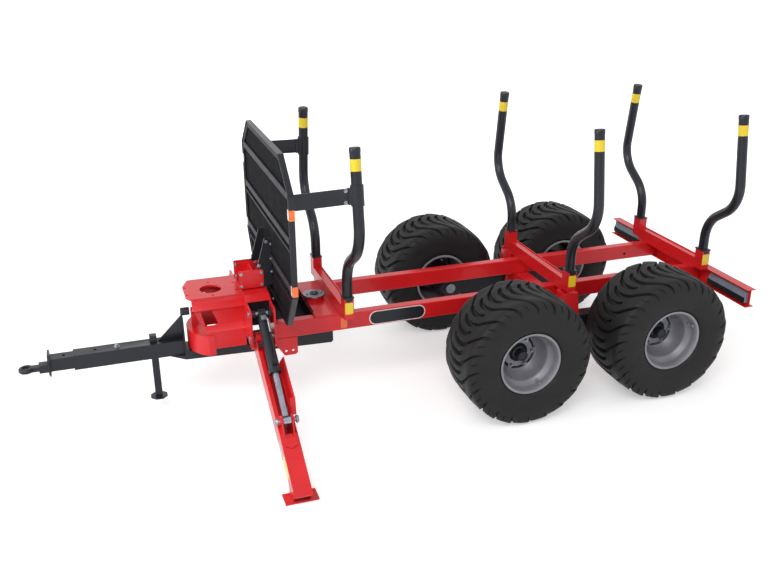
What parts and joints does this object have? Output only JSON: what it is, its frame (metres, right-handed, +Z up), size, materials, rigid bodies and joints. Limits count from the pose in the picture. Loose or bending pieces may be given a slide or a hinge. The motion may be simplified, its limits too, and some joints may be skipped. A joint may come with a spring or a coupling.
{
  "type": "forestry trailer",
  "caption": "Twin-axle bogie forestry trailer with bent log stakes, slatted headboard, crane stand, swing-out stabiliser legs and a steered drawbar.",
  "frame": {"origin": "on the ground, under the middle of the trailer's length and width", "axes": "+X forward along the drawbar, +Y to the left, +Z up"},
  "size_m": [5.186, 2.8894, 1.9851],
  "materials": {
    "red_paint": "gloss",
    "black_paint": "satin",
    "tyre": "matte",
    "rim_grey": "satin",
    "chrome_rod": "polished",
    "steel": "satin",
    "grey_paint": "satin",
    "lamp_red": "gloss"
  },
  "bodies": {
    "frame": {"rail_left": "red_paint", "rail_right": "red_paint", "rear_beam": "red_paint", "bolster_front": "red_paint", "bolster_middle": "red_paint", "bolster_rear": "red_paint", "pivot_plates": "red_paint", "crane_stand": "red_paint", "stand_nose": "red_paint", "crane_flange": "red_paint", "leg_frame_front": "red_paint", "leg_frame_rear": "red_paint", "leg_frame_roof": "red_paint", "clamp_plates": "red_paint", "rail_lugs": "red_paint", "bogie_mount": "red_paint", "headboard": "black_paint", "headboard_arms": "black_paint", "headboard_brackets": "black_paint", "stake_front_left": "black_paint", "stake_front_right": "black_paint", "stake_middle_left": "black_paint", "stake_middle_right": "black_paint", "stake_rear_left": "black_paint", "stake_rear_right": "black_paint", "walking_beam_left": "black_paint", "walking_beam_right": "black_paint", "king_pin": "steel", "leg_pins": "steel", "bogie_pins": "steel", "stub_axles": "steel", "lamp_covers": "grey_paint", "tail_lamps": "lamp_red"},
    "drawbar": {"drawbar_beam": "black_paint", "drawbar_post": "black_paint", "drawbar_tube": "black_paint", "hitch": "black_paint", "lock_bolt": "steel"},
    "prop": {"prop_stand": "black_paint"},
    "leg_left": {"leg_left": "red_paint"},
    "barrel_left": {"ram_barrel_left": "black_paint"},
    "rod_left": {"ram_rod_left": "chrome_rod"},
    "wheel_front_left": {"tyre_front_left": "tyre", "rim_front_left": "rim_grey"},
    "wheel_rear_left": {"tyre_rear_left": "tyre", "rim_rear_left": "rim_grey"},
    "leg_right": {"leg_right": "red_paint"},
    "barrel_right": {"ram_barrel_right": "black_paint"},
    "rod_right": {"ram_rod_right": "chrome_rod"},
    "wheel_front_right": {"tyre_front_right": "tyre", "rim_front_right": "rim_grey"},
    "wheel_rear_right": {"tyre_rear_right": "tyre", "rim_rear_right": "rim_grey"}
  },
  "joints": [
    {"name": "drawbar_steer", "type": "hinge", "parent": "frame", "child": "drawbar", "pos_m": [0.54, 0, 0.5], "axis": [0, 0, 1], "range_deg": [-20, 20]},
    {"name": "prop_slide", "type": "slide", "parent": "drawbar", "child": "prop", "axis": [0, 0, 1], "range_m": [-0.04, 0.28]},
    {"name": "leg_left_lift", "type": "hinge", "parent": "frame", "child": "leg_left", "pos_m": [0.995, 0.35, 0.64], "axis": [1, 0, 0], "range_deg": [-8, 80]},
    {"name": "barrel_left_swing", "type": "hinge", "parent": "frame", "child": "barrel_left", "pos_m": [0.995, 0.36, 0.824], "axis": [1, 0, 0], "range_deg": [-9, 82]},
    {"name": "rod_left_slide", "type": "slide", "parent": "barrel_left", "child": "rod_left", "axis": [0, 0.8326, -0.5538], "range_m": [-0.245, 0.03]},
    {"name": "leg_right_lift", "type": "hinge", "parent": "frame", "child": "leg_right", "pos_m": [0.995, -0.35, 0.64], "axis": [-1, 0, 0], "range_deg": [-8, 80]},
    {"name": "barrel_right_swing", "type": "hinge", "parent": "frame", "child": "barrel_right", "pos_m": [0.995, -0.36, 0.824], "axis": [-1, 0, 0], "range_deg": [-9, 82]},
    {"name": "rod_right_slide", "type": "slide", "parent": "barrel_right", "child": "rod_right", "axis": [0, -0.8326, -0.5538], "range_m": [-0.245, 0.03]},
    {"name": "wheel_front_left_roll", "type": "hinge", "parent": "frame", "child": "wheel_front_left", "pos_m": [-0.7095, 0.807, 0.4725], "axis": [0, 1, 0], "continuous": true},
    {"name": "wheel_front_right_roll", "type": "hinge", "parent": "frame", "child": "wheel_front_right", "pos_m": [-0.7095, -0.807, 0.4725], "axis": [0, 1, 0], "continuous": true},
    {"name": "wheel_rear_left_roll", "type": "hinge", "parent": "frame", "child": "wheel_rear_left", "pos_m": [-1.8305, 0.807, 0.4725], "axis": [0, 1, 0], "continuous": true},
    {"name": "wheel_rear_right_roll", "type": "hinge", "parent": "frame", "child": "wheel_rear_right", "pos_m": [-1.8305, -0.807, 0.4725], "axis": [0, 1, 0], "continuous": true}
  ],
  "couplings": [
    {"joint": "barrel_left_swing", "follows": "leg_left_lift", "ratio": 1.012},
    {"joint": "rod_left_slide", "follows": "leg_left_lift", "m_per_rad": -0.1719},
    {"joint": "barrel_right_swing", "follows": "leg_right_lift", "ratio": 1.012},
    {"joint": "rod_right_slide", "follows": "leg_right_lift", "m_per_rad": -0.1719}
  ]
}
